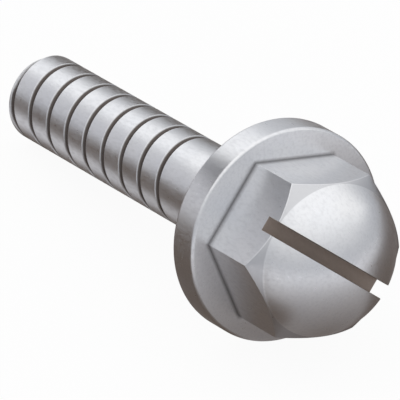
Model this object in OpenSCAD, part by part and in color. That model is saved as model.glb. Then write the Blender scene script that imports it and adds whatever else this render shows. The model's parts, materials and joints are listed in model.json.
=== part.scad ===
// Panel screw: a hexagon washer head with a slotted dome, on a shank with a coarse thread.
// It is one piece of steel, and it lies on the rim of its flange and the edge of its tip.
// Along the screw, heights are measured from the bearing face under the flange.

/* [Shank] */
// Diameter over the thread's crests and at the plain neck
shank_dia = 6.35; // [4:0.05:8]
// Length from the bearing face to the tip
shank_length = 28.6; // [22:0.1:60]
// Chamfer round the tip
tip_chamfer = 0.5; // [0.2:0.05:1]
// Radius of the fillet where the shank meets the flange
neck_fillet = 0.4; // [0.1:0.05:0.8]

/* [Thread] */
// Distance from one turn of the groove to the next
thread_pitch = 2.34; // [1.2:0.01:3]
// Length of the plain neck, from the bearing face to the end of the groove
neck_length = 8; // [4:0.1:12]
// Width of the groove at the crests
groove_width = 0.52; // [0.3:0.01:0.9]
// Depth of the groove below the crests
groove_depth = 0.4; // [0.2:0.01:0.6]
// Width of the flat at the groove's root
root_width = 0.1; // [0.05:0.01:0.2]
// Turn over which the groove fades out at the neck, in degrees
fade_turn = 95; // [60:5:300]
// Turn at which the groove starts beyond the tip, in degrees from straight down
thread_turn = 33; // [0:1:360]

/* [Flange] */
// Diameter of the flange
flange_dia = 15.5; // [13.5:0.1:20]
// Thickness of the flange
flange_thickness = 2.4; // [1:0.1:4]
// Radius of the rounded edges of the flange's rim
rim_round = 0.25; // [0.1:0.05:0.45]

/* [Hexagon] */
// Distance across the flats
across_flats = 11.11; // [9:0.01:11.6]
// Height of the hexagon above the flange, up to the foot of the dome
hex_height = 5.3; // [3:0.1:8]
// Fall of the chamfer on the hexagon's corners, in degrees
corner_chamfer = 45; // [10:1:55]

/* [Dome] */
// Ledge between the foot of the dome and the middle of each flat
dome_ledge = 0.05; // [0.02:0.01:0.5]
// Rise of the dome above the hexagon
dome_rise = 3.3; // [1:0.1:4.5]

/* [Slot] */
// Width of the driver slot
slot_width = 1.02; // [0.6:0.01:2]
// Depth of the slot below the top of the dome
slot_depth = 4.5; // [1.5:0.1:7]
// Turn of the slot and the hexagon from the upright, in degrees
head_turn = 47; // [0:1:180]

/* [Hidden] */
$fn = 96;

shank_r = shank_dia / 2;
flange_r = flange_dia / 2;
// Half the angle from one flat of the hexagon to the next
half_flat_angle = 180 / 6;
corner_r = across_flats / 2 / cos(half_flat_angle);
head_z = flange_thickness + hex_height;
dome_r = across_flats / 2 - dome_ledge;
dome_sphere_r = (dome_r * dome_r + dome_rise * dome_rise) / (2 * dome_rise);
dome_centre_z = head_z + dome_rise - dome_sphere_r;

// Room by which a cutting shape stands clear of what it cuts, and the groove's faded end of the shank
cut_room = 0.5;
fade_room = 0.1;

// Sections of the groove in one turn, and the ends of its helix
turn_sections = 32;
groove_start_z = -shank_length - groove_width;
groove_end_z = -neck_length;
groove_steps = ceil((groove_end_z - groove_start_z) / thread_pitch * turn_sections);
fade_steps = turn_sections * fade_turn / 360;

// Slope at which the screw lies: its flange's rim and its tip's edge touch the ground together
reach_along = shank_length - tip_chamfer + rim_round;
reach_across = flange_r - rim_round - shank_r;
lie_angle = atan2(reach_across, reach_along) + asin(rim_round / norm([reach_along, reach_across]));

// Place of the bearing face's centre, with the middle of the lying screw over the origin
lie_z = (flange_r - rim_round) * cos(lie_angle) + rim_round * (1 - sin(lie_angle));
head_end_x = dome_centre_z * cos(lie_angle) + dome_sphere_r;
tip_end_x = -shank_length * cos(lie_angle) - (shank_r - tip_chamfer) * sin(lie_angle);
lie_x = -(head_end_x + tip_end_x) / 2;

module shank_profile() {
    translate([0, tip_chamfer - shank_length])
        square([shank_r, shank_length - tip_chamfer]);
    polygon([
        [0, -shank_length],
        [shank_r - tip_chamfer, -shank_length],
        [shank_r, tip_chamfer - shank_length],
        [0, tip_chamfer - shank_length]
    ]);
}

module neck_fillet_profile() {
    difference() {
        translate([shank_r - cut_room, -neck_fillet])
            square([neck_fillet + cut_room, neck_fillet + flange_thickness / 2]);
        translate([shank_r + neck_fillet, -neck_fillet])
            circle(r = neck_fillet);
    }
}

module flange_profile() {
    square([flange_r - rim_round, flange_thickness]);
    translate([0, rim_round])
        square([flange_r, flange_thickness - 2 * rim_round]);
    for (z = [rim_round, flange_thickness - rim_round])
        translate([flange_r - rim_round, z])
            circle(r = rim_round);
}

// The round form that cuts the hexagon's corners back, without the dome
module hex_chamfer_profile() {
    far_r = corner_r + cut_room;
    fall = (far_r - dome_r) * tan(corner_chamfer);
    polygon([
        [0, flange_thickness / 2],
        [far_r, flange_thickness / 2],
        [far_r, head_z - fall],
        [dome_r, head_z],
        [0, head_z]
    ]);
}

module dome_profile() {
    intersection() {
        translate([0, dome_centre_z])
            circle(r = dome_sphere_r);
        translate([0, head_z - cut_room])
            square([dome_r, dome_rise + 2 * cut_room]);
    }
}

module hex_head() {
    intersection() {
        rotate([0, 0, head_turn + half_flat_angle])
            cylinder(r = corner_r, h = head_z, $fn = 6);
        rotate_extrude()
            hex_chamfer_profile();
    }
    rotate_extrude()
        dome_profile();
}

module slot_cut() {
    slot_reach = 2 * corner_r + 2 * cut_room;
    rotate([0, 0, head_turn])
        translate([-slot_reach / 2, -slot_width / 2, head_z + dome_rise - slot_depth])
            cube([slot_reach, slot_width, slot_depth + cut_room]);
}

// Height of the groove's middle, and how far it has lifted out of the shank, at one step
function groove_z(step) = groove_start_z + thread_pitch * step / turn_sections;
function groove_lift(step) =
    (groove_depth + fade_room) * max(0, (step - groove_steps + fade_steps) / fade_steps);

// The four corners of the groove's section at one step, its mouth first
function groove_section(step) =
    let (
        angle = thread_turn + 360 * step / turn_sections,
        flank = (groove_width - root_width) / 2 / groove_depth,
        mouth = groove_width / 2 + flank * cut_room,
        root = root_width / 2,
        mouth_r = shank_r + cut_room + groove_lift(step),
        root_r = shank_r - groove_depth + groove_lift(step)
    )
    [for (corner = [[mouth_r, -mouth], [mouth_r, mouth], [root_r, root], [root_r, -root]])
        [corner[0] * cos(angle), corner[0] * sin(angle), groove_z(step) + corner[1]]];

// The helical groove of a right-hand thread
module thread_groove() {
    points = [for (step = [0:groove_steps]) each groove_section(step)];
    sides = [
        for (step = [0:groove_steps - 1], side = [0:3])
            let (
                a = 4 * step + side,
                b = 4 * step + (side + 1) % 4
            )
            each [[a, b, b + 4], [a, b + 4, a + 4]]
    ];
    last = 4 * groove_steps;
    ends = [[3, 2, 1, 0], [last, last + 1, last + 2, last + 3]];
    polyhedron(points, concat(sides, ends));
}

module screw() {
    difference() {
        union() {
            rotate_extrude() {
                shank_profile();
                neck_fillet_profile();
                flange_profile();
            }
            hex_head();
        }
        slot_cut();
        thread_groove();
    }
}

module panel_screw() {
    color("silver")
        translate([lie_x, 0, lie_z])
            rotate([0, 90 - lie_angle, 0])
                screw();
}

panel_screw();
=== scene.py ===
import json
from math import asin, atan2, cos, pi, radians, sin, tan

import bmesh
import bpy
from mathutils import Matrix, Vector


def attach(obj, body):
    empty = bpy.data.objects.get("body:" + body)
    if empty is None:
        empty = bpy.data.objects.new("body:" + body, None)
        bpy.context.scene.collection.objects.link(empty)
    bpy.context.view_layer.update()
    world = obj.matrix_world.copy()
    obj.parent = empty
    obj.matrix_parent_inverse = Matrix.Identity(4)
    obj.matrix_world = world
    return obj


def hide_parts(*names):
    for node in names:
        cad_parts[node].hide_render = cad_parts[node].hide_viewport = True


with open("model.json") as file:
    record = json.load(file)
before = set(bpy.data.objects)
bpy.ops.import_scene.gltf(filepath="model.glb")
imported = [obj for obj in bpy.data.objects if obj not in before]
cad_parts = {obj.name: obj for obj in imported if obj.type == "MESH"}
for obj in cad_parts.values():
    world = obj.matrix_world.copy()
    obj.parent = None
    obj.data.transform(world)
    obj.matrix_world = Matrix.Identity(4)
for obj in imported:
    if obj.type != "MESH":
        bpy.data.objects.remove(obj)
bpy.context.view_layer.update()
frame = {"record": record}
print("frame loaded")

# Sizes are in millimetres. The screw is made upright, its bearing face at height 0,
# then scaled and laid down as the frame has it
mm = 0.001
shankMount = next(m for m in frame["record"]["mounts"] if m["name"] == "shank")
headward = -Vector(shankMount["axis"])
leanAngle = atan2(headward.x, headward.z)
layDown = (
    Matrix.Translation(shankMount["pos_m"])
    @ Matrix.Rotation(leanAngle, 4, "Y")
    @ Matrix.Scale(mm, 4)
)
upright = (0, 0, 1)
centre = (0, 0, 0)
tiny = 1e-5  # points closer than this are one


def wirePath(bm, points):
    verts = [bm.verts.new(point) for point in points]
    for a, b in zip(verts, verts[1:]):
        bm.edges.new((a, b))
    return verts


def roundCorners(bm, verts, radius, segments):
    bmesh.ops.bevel(
        bm, geom=verts, offset=radius, offset_type="OFFSET", segments=segments,
        profile=0.5, affect="VERTICES", clamp_overlap=False, material=-1,
    )


def turnRound(bm, steps, axis=upright):
    bmesh.ops.spin(
        bm, geom=bm.verts[:] + bm.edges[:], cent=centre, axis=axis,
        angle=2 * pi, steps=steps, use_merge=True,
    )
    bmesh.ops.remove_doubles(bm, verts=bm.verts[:], dist=tiny)
    bmesh.ops.recalc_face_normals(bm, faces=bm.faces[:])


def swing(bm, angle):  # about the screw's axis
    bmesh.ops.rotate(bm, cent=centre, matrix=Matrix.Rotation(angle, 3, "Z"), verts=bm.verts[:])


def cutFlat(bm, point, outward):  # drops what lies outward of a plane and closes the cut
    cut = bmesh.ops.bisect_plane(
        bm, geom=bm.verts[:] + bm.edges[:] + bm.faces[:], dist=tiny,
        plane_co=point, plane_no=outward, clear_outer=True,
    )
    rim = [e for e in cut["geom_cut"] if isinstance(e, bmesh.types.BMEdge)]
    bmesh.ops.edgeloop_fill(bm, edges=rim)


def asObject(bm, name):
    mesh = bpy.data.meshes.new(name)
    bm.to_mesh(mesh)
    bm.free()
    made = bpy.data.objects.new(name, mesh)
    bpy.context.scene.collection.objects.link(made)
    return made


# Shank and flange, turned from one bar
blank = {
    "shankRadius": 3.175,
    "shankLength": 28.6,
    "tipChamfer": 0.5,
    "tipSoftness": 0.06,
    "tipSegments": 2,
    "neckFillet": 0.4,
    "neckSegments": 6,
    "flangeRadius": 7.75,
    "flangeThickness": 2.4,
    "rimRound": 0.25,
    "rimSegments": 5,
    "steps": 180,
}


def makeBlank(b):
    bm = bmesh.new()
    tip = -b["shankLength"]
    path = wirePath(bm, [
        (0, 0, tip),
        (b["shankRadius"] - b["tipChamfer"], 0, tip),
        (b["shankRadius"], 0, tip + b["tipChamfer"]),
        (b["shankRadius"], 0, 0),
        (b["flangeRadius"], 0, 0),
        (b["flangeRadius"], 0, b["flangeThickness"]),
        (0, 0, b["flangeThickness"]),
    ])
    roundCorners(bm, path[1:3], b["tipSoftness"], b["tipSegments"])
    roundCorners(bm, path[3:4], b["neckFillet"], b["neckSegments"])
    roundCorners(bm, path[4:6], b["rimRound"], b["rimSegments"])
    turnRound(bm, b["steps"])
    return asObject(bm, "blank")


# Hexagon with its corners chamfered, and the dome on it
head = {
    "acrossFlats": 11.11,
    "hexHeight": 5.3,
    "cornerChamfer": 45,
    "domeLedge": 0.05,
    "domeRise": 3.3,
    "domeRings": 30,
    "softAngle": 25,  # edges sharper than this are softened
    "softness": 0.05,
    "softSegments": 2,
    "sunk": 1.2,  # depth of its foot in the flange
    "spare": 0.5,
    "steps": 120,
    "turn": 47,
}
footZ = blank["flangeThickness"] + head["hexHeight"]
footRadius = head["acrossFlats"] / 2 - head["domeLedge"]
ballRadius = (footRadius ** 2 + head["domeRise"] ** 2) / (2 * head["domeRise"])
ballZ = footZ + head["domeRise"] - ballRadius
headTurn = radians(head["turn"])


def makeHead(h):
    bm = bmesh.new()
    cornerRadius = h["acrossFlats"] / 2 / cos(pi / 6)
    outer = cornerRadius + h["spare"]
    fall = (outer - footRadius) * tan(radians(h["cornerChamfer"]))
    bottom = blank["flangeThickness"] - h["sunk"]
    path = wirePath(bm, [
        (footRadius, 0, footZ),
        (outer, 0, footZ - fall),
        (outer, 0, bottom),
        (0, 0, bottom),
    ])
    bmesh.ops.spin(  # the dome's arc, from its foot to the top
        bm, geom=path[:1], cent=(0, 0, ballZ), axis=(0, -1, 0),
        angle=asin(footRadius / ballRadius), steps=h["domeRings"],
    )
    turnRound(bm, h["steps"])
    for flat in range(6):
        outward = Vector((cos(flat * pi / 3), sin(flat * pi / 3), 0))
        cutFlat(bm, outward * h["acrossFlats"] / 2, outward)
    bmesh.ops.recalc_face_normals(bm, faces=bm.faces[:])
    corners = [
        e for e in bm.edges
        if e.calc_face_angle_signed(0) > radians(h["softAngle"])
        and max(v.co.z for v in e.verts) > bottom + tiny
    ]
    bmesh.ops.bevel(
        bm, geom=corners, offset=h["softness"], offset_type="OFFSET", segments=h["softSegments"],
        profile=0.5, affect="EDGES", clamp_overlap=True, material=-1,
    )
    swing(bm, headTurn)
    return asObject(bm, "head")


# Cutter for the driver slot: a disc with a flat floor, flared where it breaks the dome
slot = {
    "width": 1.02,
    "depth": 4.5,
    "lip": 0.08,
    "lipBend": 0.3,  # this and the flare are shares of the lip
    "lipFlare": 2,
    "spare": 0.7,
    "steps": 180,
}
slotFloor = footZ + head["domeRise"] - slot["depth"]


def makeSlotCutter(s):
    bm = bmesh.new()
    half = s["width"] / 2
    lip = s["lip"]
    bend = s["lipBend"] * lip
    flare = s["lipFlare"] * lip
    side = [
        (0, half, 0),
        (ballRadius - lip, half, 0),
        (ballRadius - bend, half + bend, 0),
        (ballRadius + lip, half + flare, 0),
        (ballRadius + s["spare"], half + flare, 0),
    ]
    wirePath(bm, side + [(x, -y, z) for x, y, z in reversed(side)])
    turnRound(bm, s["steps"], axis=(0, 1, 0))
    bmesh.ops.translate(bm, vec=(0, 0, ballZ), verts=bm.verts[:])
    cutFlat(bm, (0, 0, slotFloor), (0, 0, -1))
    bmesh.ops.recalc_face_normals(bm, faces=bm.faces[:])
    swing(bm, headTurn)
    return asObject(bm, "slotCutter")


# Cutter for the thread: the groove's section on a right-hand helix, fading out at the neck
groove = {
    "pitch": 2.34,
    "neckLength": 8,
    "width": 0.52,
    "depth": 0.4,
    "rootWidth": 0.1,
    "lip": 0.03,
    "lipRise": 0.5,  # this, the tuck and the flare are shares of the lip
    "lipTuck": 0.1,
    "lipFlare": 4,
    "spare": 0.3,
    "startTurn": 33,
    "fadeTurn": 95,
    "fadeRoom": 0.1,
    "stepsPerTurn": 72,
}


def makeGrooveCutter(g):
    bm = bmesh.new()
    crest = blank["shankRadius"]
    startZ = -blank["shankLength"] - g["width"]
    steps = round((-g["neckLength"] - startZ) / g["pitch"] * g["stepsPerTurn"])
    fadeSteps = round(g["fadeTurn"] / 360 * g["stepsPerTurn"])
    plainSteps = steps - fadeSteps
    half = g["width"] / 2
    lip = g["lip"]
    side = [
        (crest + g["spare"], 0, half + g["lipFlare"] * lip),
        (crest + g["lipRise"] * lip, 0, half + lip),
        (crest - g["lipRise"] * lip, 0, half - g["lipTuck"] * lip),
        (crest - g["depth"], 0, g["rootWidth"] / 2),
    ]
    section = wirePath(bm, side + [(x, y, -z) for x, y, z in reversed(side)])
    bm.edges.new((section[-1], section[0]))
    bmesh.ops.translate(bm, vec=(0, 0, startZ), verts=bm.verts[:])
    startTurn = radians(g["startTurn"])
    swing(bm, startTurn)
    stepTurn = 2 * pi / g["stepsPerTurn"]
    helix = {"cent": centre, "axis": upright, "dvec": (0, 0, g["pitch"] / g["stepsPerTurn"])}
    ring = bmesh.ops.spin(
        bm, geom=bm.verts[:] + bm.edges[:], angle=plainSteps * stepTurn, steps=plainSteps, **helix
    )["geom_last"]
    lift = (g["depth"] + g["fadeRoom"]) / fadeSteps
    for step in range(plainSteps + 1, steps + 1):  # the fade: each ring lies a little farther out
        ring = bmesh.ops.spin(bm, geom=ring, angle=stepTurn, steps=1, **helix)["geom_last"]
        turn = startTurn + step * stepTurn
        outward = Vector((cos(turn), sin(turn), 0))
        lifted = [v for v in ring if isinstance(v, bmesh.types.BMVert)]
        bmesh.ops.translate(bm, vec=outward * lift, verts=lifted)
    bmesh.ops.holes_fill(bm, edges=[e for e in bm.edges if e.is_boundary], sides=0)
    bmesh.ops.recalc_face_normals(bm, faces=bm.faces[:])
    return asObject(bm, "grooveCutter")


def machine(target, tool, operation):
    step = target.modifiers.new(operation.lower(), "BOOLEAN")
    step.operation = operation
    step.solver = "EXACT"
    step.object = tool
    graph = bpy.context.evaluated_depsgraph_get()
    target.data = bpy.data.meshes.new_from_object(target.evaluated_get(graph))
    target.modifiers.clear()
    bpy.data.objects.remove(tool)


screw = makeBlank(blank)
screw.name = "plated_screw"
machine(screw, makeHead(head), "UNION")
print("blank and head joined:", len(screw.data.polygons), "faces")
machine(screw, makeSlotCutter(slot), "DIFFERENCE")
machine(screw, makeGrooveCutter(groove), "DIFFERENCE")
print("slot and thread cut:", len(screw.data.polygons), "faces")

surface = {"sharpAngle": 24, "mergeDistance": 1e-4}


def finishMesh(obj, s):
    bm = bmesh.new()
    bm.from_mesh(obj.data)
    bmesh.ops.remove_doubles(bm, verts=bm.verts[:], dist=s["mergeDistance"])
    bmesh.ops.dissolve_degenerate(bm, edges=bm.edges[:], dist=s["mergeDistance"])
    bmesh.ops.recalc_face_normals(bm, faces=bm.faces[:])
    openEdges = sum(not e.is_manifold for e in bm.edges)
    print("open edges:", openEdges, "volume:", round(bm.calc_volume(), 2), "cubic millimetres")
    bmesh.ops.transform(bm, matrix=layDown, verts=bm.verts[:])
    bm.to_mesh(obj.data)
    bm.free()
    obj.data.shade_smooth()
    obj.data.set_sharp_from_angle(angle=radians(s["sharpAngle"]))
    even = obj.modifiers.new("evenNormals", "WEIGHTED_NORMAL")
    even.keep_sharp = True


finishMesh(screw, surface)


class Wire:  # one socket of a shader; sums on it add Math nodes
    def __init__(self, tree, socket=None):
        self.tree = tree
        self.socket = socket

    def node(self, kind, settings, inputs, out=0):
        made = self.tree.nodes.new(kind)
        for name, value in settings.items():
            setattr(made, name, value)
        for name, value in inputs.items():
            if isinstance(value, Wire):
                self.tree.links.new(value.socket, made.inputs[name])
            else:
                made.inputs[name].default_value = value
        return Wire(self.tree, made.outputs[out] if made.outputs else None)

    def other(self, out):  # another output of the same node
        return Wire(self.tree, self.socket.node.outputs[out])

    def maths(self, operation, first, second=0.0, clamp=False):
        settings = {"operation": operation, "use_clamp": clamp}
        return self.node("ShaderNodeMath", settings, {0: first, 1: second})

    def __add__(self, value):
        return self.maths("ADD", self, value)

    __radd__ = __add__

    def __sub__(self, value):
        return self.maths("SUBTRACT", self, value)

    def __rsub__(self, value):
        return self.maths("SUBTRACT", value, self)

    def __mul__(self, value):
        return self.maths("MULTIPLY", self, value)

    __rmul__ = __mul__

    def __pow__(self, value):
        return self.maths("POWER", self, value)

    def __abs__(self):
        return self.maths("ABSOLUTE", self)

    def __or__(self, value):  # the larger of two masks
        return self.maths("MAXIMUM", self, value)

    def ramp(self, start, end):  # 0 at start, 1 at end, held beyond them
        return self.maths("MULTIPLY", self - start, 1 / (end - start), clamp=True)

    def rampFrom(self, base, span):  # a ramp whose two ends are measured from base
        return self.ramp(base + span[0], base + span[1])

    def noise(self, pattern):
        inputs = {"Vector": self, "Scale": pattern["scale"], "Detail": pattern["detail"]}
        return self.node("ShaderNodeTexNoise", {}, inputs)

    def tint(self, plain, tinted):
        inputs = {"Factor": self, "A": plain, "B": tinted}
        return self.node("ShaderNodeMix", {"data_type": "RGBA"}, inputs, out="Result")

    def blend(self, first, second):
        return self.node("ShaderNodeMixShader", {}, {0: self, 1: first, 2: second})


def newMaterial(name):
    material = bpy.data.materials.new(name)
    material.use_nodes = True
    material.node_tree.nodes.clear()
    return material, Wire(material.node_tree)


# Satin plating. A pair of numbers is where an area starts and where it is full
plating = {
    "steel": (0.84, 0.845, 0.86, 1),
    "roughness": 0.34,
    "recessRoughness": 0.45,
    "clouds": {"colour": (0.80, 0.81, 0.835, 1), "scale": 0.35, "detail": 3, "level": (0.4, 0.7)},
    "grain": {
        "colour": (0.66, 0.665, 0.685, 1), "share": 0.45, "scale": 5, "detail": 4, "level": (0.45, 0.75),
        "drawnOut": 0.4, "roughness": 0.3,
    },
    "rings": {"scale": 14, "detail": 2, "roughness": 0.05, "bump": 0.15},
    "bump": {"strength": 0.5, "distance": 0.014, "shank": (0.0, -0.1), "headShare": 0.15},
    # colour of the painted shade in the thread's groove
    "groove": {
        "colour": (0.15, 0.13, 0.12, 1),
        "fromCrest": (-0.01, -0.10), "fromTip": (0.05, 0.15), "fromFlange": (-0.7, -0.8),
    },
    # colour of the painted shade in the slot
    "slot": {"colour": (0.50, 0.43, 0.38, 1), "fromWall": (0.04, 0.01), "fromFloor": (-0.06, -0.02)},
    # colour of the painted shade round the hexagon's foot
    "foot": {
        "colour": (0.27, 0.265, 0.27, 1), "share": 0.7,
        "fromFlat": (0.25, 0), "above": (0.5, 0), "below": (-0.3, -0.2),
    },
    "trim": {
        "colour": (0.62, 0.625, 0.645, 1),
        "fromDome": (-0.03, 0.01), "fromFlat": (-0.01, -0.05), "above": (1.0, 1.5),
    },
    "end": {"roughness": 0.62, "fromTip": (0.04, 0.02)},
}
noiseMiddle = 0.5


def platedSteel(p):
    material, start = newMaterial("platedSteel")
    coords = start.node("ShaderNodeTexCoord", {}, {}, out="Object")
    local = start.node(  # the upright screw's own frame, in millimetres
        "ShaderNodeMapping", {"vector_type": "TEXTURE"},
        {
            "Vector": coords,
            "Location": shankMount["pos_m"],
            "Rotation": (0, leanAngle, 0),
            "Scale": (mm, mm, mm),
        },
    )
    x = start.node("ShaderNodeSeparateXYZ", {}, {"Vector": local})
    y = x.other("Y")
    z = x.other("Z")
    radius = (x * x + y * y) ** 0.5
    hexReach = abs(x * cos(headTurn) + y * sin(headTurn))  # from the axis, square to the nearest flat
    for flatTurn in (headTurn + pi / 3, headTurn - pi / 3):
        hexReach = hexReach | abs(x * cos(flatTurn) + y * sin(flatTurn))
    acrossSlot = abs(y * cos(headTurn) - x * sin(headTurn))
    tipZ = -blank["shankLength"]
    faceZ = blank["flangeThickness"]
    flat = head["acrossFlats"] / 2

    # painted shade in the thread's groove and in the slot: their colour is darkened there, and they are
    # rougher
    inGroove = (
        radius.rampFrom(blank["shankRadius"], p["groove"]["fromCrest"])
        * z.rampFrom(tipZ + blank["tipChamfer"], p["groove"]["fromTip"])
        * z.ramp(*p["groove"]["fromFlange"])
    )
    inSlot = (
        acrossSlot.rampFrom(slot["width"] / 2, p["slot"]["fromWall"])
        * z.rampFrom(slotFloor, p["slot"]["fromFloor"])
    )

    # painted shade: a dark line round the hexagon's foot, in its corner with the flange; and darker
    # chamfers where its corners are trimmed
    paintedFootShade = (
        hexReach.rampFrom(flat, p["foot"]["fromFlat"])
        * z.rampFrom(faceZ, p["foot"]["above"])
        * z.rampFrom(faceZ, p["foot"]["below"])
    )
    trimmed = (
        radius.rampFrom(footRadius, p["trim"]["fromDome"])
        * hexReach.rampFrom(flat, p["trim"]["fromFlat"])
        * z.rampFrom(faceZ, p["trim"]["above"])
    )
    onEnd = z.rampFrom(tipZ, p["end"]["fromTip"])  # the tip's sheared end

    clouds = local.noise(p["clouds"])
    drawn = start.node(
        "ShaderNodeCombineXYZ", {}, {"X": x, "Y": y, "Z": z * p["grain"]["drawnOut"]}
    )
    grain = drawn.noise(p["grain"])  # drawn out along the screw
    along = start.node("ShaderNodeCombineXYZ", {}, {"X": radius, "Z": z})
    rings = along.noise(p["rings"])  # faint rings left by the rolling and heading tools

    colour = clouds.ramp(*p["clouds"]["level"]).tint(p["steel"], p["clouds"]["colour"])
    grained = grain.ramp(*p["grain"]["level"]) * p["grain"]["share"]
    colour = grained.tint(colour, p["grain"]["colour"])
    colour = trimmed.tint(colour, p["trim"]["colour"])
    # painted shade along the hexagon's foot
    colour = (paintedFootShade * p["foot"]["share"]).tint(colour, p["foot"]["colour"])
    # painted shade: darker colour in the groove and in the slot
    colour = inGroove.tint(colour, p["groove"]["colour"])
    colour = inSlot.tint(colour, p["slot"]["colour"])

    rough = p["roughness"] + p["grain"]["roughness"] * (grain - noiseMiddle)
    rough = rough + p["rings"]["roughness"] * (rings - noiseMiddle)
    rough = rough + (inGroove | inSlot) * (p["recessRoughness"] - p["roughness"])
    rough = rough + onEnd * (p["end"]["roughness"] - p["roughness"])

    onShank = z.ramp(*p["bump"]["shank"])
    grainShare = p["bump"]["headShare"] + onShank * (1 - p["bump"]["headShare"])
    relief = start.node(
        "ShaderNodeBump", {},
        {
            "Strength": p["bump"]["strength"],
            "Distance": p["bump"]["distance"] * mm,
            "Height": grain * grainShare + rings * p["rings"]["bump"],
        },
    )
    shader = start.node(
        "ShaderNodeBsdfPrincipled", {},
        {"Base Color": colour, "Metallic": 1.0, "Roughness": rough, "Normal": relief},
    )
    start.node("ShaderNodeOutputMaterial", {}, {"Surface": shader})
    return material


screw.data.materials.clear()
screw.data.materials.append(platedSteel(plating))
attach(screw, "root")
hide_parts("panel_screw")
print("screw finished")

# Pale floor, white to the camera and in the metal, keeping part of the shadow
floor = {"size": 1500, "colour": (0.9, 0.9, 0.9, 1), "white": (1, 1, 1, 1), "whiteShare": 0.94}


def glow(start, colour):
    return start.node("ShaderNodeEmission", {}, {"Color": colour, "Strength": 1.0})


def dress(obj, material, shader):  # the stage shows its colours and lights nothing
    shader.node("ShaderNodeOutputMaterial", {}, {"Surface": shader})
    material.cycles.emission_sampling = "NONE"
    obj.data.materials.append(material)


def seenRays(start):  # 1 for rays that show a background, 0 for rays that only light the screw
    path = start.node("ShaderNodeLightPath", {}, {}, out="Is Camera Ray")
    return path + path.other("Is Glossy Ray") + path.other("Is Transmission Ray")


def makeFloor(f):
    bm = bmesh.new()
    bmesh.ops.create_grid(bm, x_segments=2, y_segments=2, size=f["size"] / 2 * mm)
    made = asObject(bm, "floor")
    material, start = newMaterial("paleFloor")
    matt = start.node("ShaderNodeBsdfDiffuse", {}, {"Color": f["colour"]})
    whiteness = seenRays(start) * f["whiteShare"]
    dress(made, material, whiteness.blend(matt, glow(start, f["white"])))


makeFloor(floor)

# Toned cards that only the metal's reflections see: one on the ground, whose brown beside and
# under the screw is a painted shadow of the screw on the floor, and four that stand round it
groundCard = {
    "size": 700,
    "height": 0.12,
    "grey": (0.83, 0.83, 0.86, 1),
    # colour of the painted shadow on the ground card
    "brown": (0.12, 0.095, 0.08, 1),
    "headPlace": (12.0, -10.0),
    "headSquash": 0.7,
    "headBrown": (14.5, 5.0),
    "domePlace": (17.0, 0.0),
    "domeShade": (74.0, -2.0),
    "underBrown": (5.0, 3.0),
    "underEnd": (12.0, 6.0),
    "frontBrown": (-5.2, -9.0),
    "frontEnd": (24.0, 14.0),
    "backBrown": (7.0, 12.0),
    "backEnd": (20.0, 12.0),
    "slant": 0.85,
    "slantBrown": (-20.0, -10.0),
    "slantStart": (8.0, 14.0),
    "slantEnd": (52.0, 40.0),
    "fade": (340.0, 240.0),
}
standingCards = {
    "frontLeft": {
        "place": (-82, -57, 37), "turn": 215, "tilt": 0, "width": 130, "height": 48,
        "tone": (0.60, 0.60, 0.63, 1),
    },
    "behindShank": {
        "place": (-38, 19, 6.5), "turn": 90, "tilt": 0, "width": 52, "height": 13,
        "tone": (0.10, 0.085, 0.075, 1),
    },
    "overNeck": {
        "place": (0.5, -10.3, 22), "turn": 209, "tilt": 18, "width": 11, "height": 7.5,
        "tone": (0.12, 0.12, 0.13, 1),
    },
    "behindHead": {
        "place": (20, 11.5, 21), "turn": 40, "tilt": 18, "width": 10, "height": 8,
        "tone": (1, 1, 1, 1),
    },
}


def onlyInReflections(obj):
    obj.visible_camera = False
    obj.visible_diffuse = False
    obj.visible_transmission = False


def makeGroundCard(c):
    bm = bmesh.new()
    bmesh.ops.create_grid(bm, x_segments=1, y_segments=1, size=c["size"] / 2 * mm)
    bmesh.ops.translate(bm, vec=(0, 0, c["height"] * mm), verts=bm.verts[:])
    made = asObject(bm, "groundCard")
    material, start = newMaterial("paintedShadowCard")
    coords = start.node("ShaderNodeTexCoord", {}, {}, out="Object")
    metresX = start.node("ShaderNodeSeparateXYZ", {}, {"Vector": coords})
    x = metresX * (1 / mm)
    y = metresX.other("Y") * (1 / mm)

    def distance(place, squash=1):  # along the card, drawn out in x by a squash under 1
        return (((x - place[0]) * squash) ** 2 + (y - place[1]) ** 2) ** 0.5

    # painted shadow, seen only in the metal: brown before the head, round the dome, under the shank and
    # beside it
    headShadow = distance(c["headPlace"], c["headSquash"]).ramp(*c["headBrown"])
    shade = distance(c["domePlace"]).ramp(*c["domeShade"]) ** 2
    under = abs(y).ramp(*c["underBrown"]) * x.ramp(*c["underEnd"])
    front = y.ramp(*c["frontBrown"]) * x.ramp(*c["frontEnd"])
    back = y.ramp(*c["backBrown"]) * x.ramp(*c["backEnd"])
    beside = (y - c["slant"] * x).ramp(*c["slantBrown"])
    beside = beside * x.ramp(*c["slantStart"]) * x.ramp(*c["slantEnd"])
    tone = (headShadow | shade | beside | under | front | back).tint(c["grey"], c["brown"])
    laid = distance(c["headPlace"]).ramp(*c["fade"])
    clear = start.node("ShaderNodeBsdfTransparent", {}, {})
    dress(made, material, laid.blend(clear, glow(start, tone)))
    made.visible_shadow = False  # the floor under it keeps its light
    onlyInReflections(made)


def makeStandingCard(name, c):
    bm = bmesh.new()
    bmesh.ops.create_grid(bm, x_segments=1, y_segments=1, size=0.5)  # 1 wide and 1 high
    stand = (
        Matrix.Scale(mm, 4)
        @ Matrix.Translation(c["place"])
        @ Matrix.Rotation(radians(c["turn"]), 4, "Z")
        @ Matrix.Rotation(radians(90 - c["tilt"]), 4, "Y")
        @ Matrix.Diagonal((c["height"], c["width"], 1, 1))
    )
    bmesh.ops.transform(bm, matrix=stand, verts=bm.verts[:])
    made = asObject(bm, name)
    material, start = newMaterial(name)
    dress(made, material, glow(start, c["tone"]))
    onlyInReflections(made)


makeGroundCard(groundCard)
for name, card in standingCards.items():
    makeStandingCard(name, card)

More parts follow.
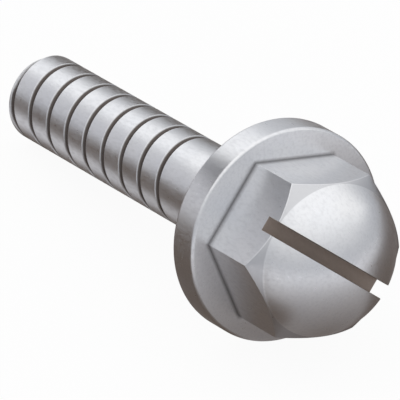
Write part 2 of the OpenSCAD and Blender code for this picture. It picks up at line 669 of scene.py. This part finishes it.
# Soft studio light: two softboxes in a white tent
softboxes = {
    "backLeft": {"azimuth": 264, "elevation": 34, "distance": 260, "size": 160, "watts": 0.028},
    "overhead": {"azimuth": 150, "elevation": 74, "distance": 320, "size": 420, "watts": 0.066},
}
tent = {"low": (0.38, 0.395, 0.43, 1), "high": (1, 1, 1, 1), "rise": (0.02, 0.85)}


def aimAt(obj, target, azimuth, elevation, distance):  # azimuth 0 is in front of the screw's side
    turn = radians(azimuth)
    rise = radians(elevation)
    back = Vector((sin(turn) * cos(rise), -cos(turn) * cos(rise), sin(rise)))
    obj.location = (Vector(target) + back * distance) * mm
    obj.rotation_euler = back.to_track_quat("Z", "Y").to_euler()
    bpy.context.scene.collection.objects.link(obj)


def makeSoftbox(name, s):
    lamp = bpy.data.lights.new(name, "AREA")
    lamp.shape = "SQUARE"
    lamp.size = s["size"] * mm
    lamp.energy = s["watts"]
    made = bpy.data.objects.new(name, lamp)
    aimAt(made, centre, s["azimuth"], s["elevation"], s["distance"])


def makeTent(t):
    world = bpy.data.worlds.new("whiteTent")
    world.use_nodes = True
    world.node_tree.nodes.clear()
    sky = Wire(world.node_tree)
    direction = sky.node("ShaderNodeTexCoord", {}, {}, out="Generated")
    upward = sky.node("ShaderNodeSeparateXYZ", {}, {"Vector": direction}, out="Z")
    cloth = upward.ramp(*t["rise"]).tint(t["low"], t["high"])
    background = sky.node("ShaderNodeBackground", {}, {"Color": cloth, "Strength": 1.0})
    sky.node("ShaderNodeOutputWorld", {}, {"Surface": background})
    bpy.context.scene.world = world


for name, box in softboxes.items():
    makeSoftbox(name, box)
makeTent(tent)
print("stage and light ready")

# Camera at the photograph's viewing angle, far off with a long lens
camera = {
    "azimuth": 56.083,
    "elevation": 33.408,
    "distance": 600,
    "lookAt": (-1.60, 1.53, 3.31),
    "frameWidth": 27.913,
    "sensor": 36,
}


def makeCamera(c):
    lens = bpy.data.cameras.new("photoCamera")
    lens.sensor_width = c["sensor"]
    lens.lens = c["sensor"] * c["distance"] / c["frameWidth"]
    made = bpy.data.objects.new("photoCamera", lens)
    aimAt(made, c["lookAt"], c["azimuth"], c["elevation"], c["distance"])
    bpy.context.scene.camera = made


makeCamera(camera)
bpy.context.scene.view_settings.view_transform = "Standard"
print("camera placed")
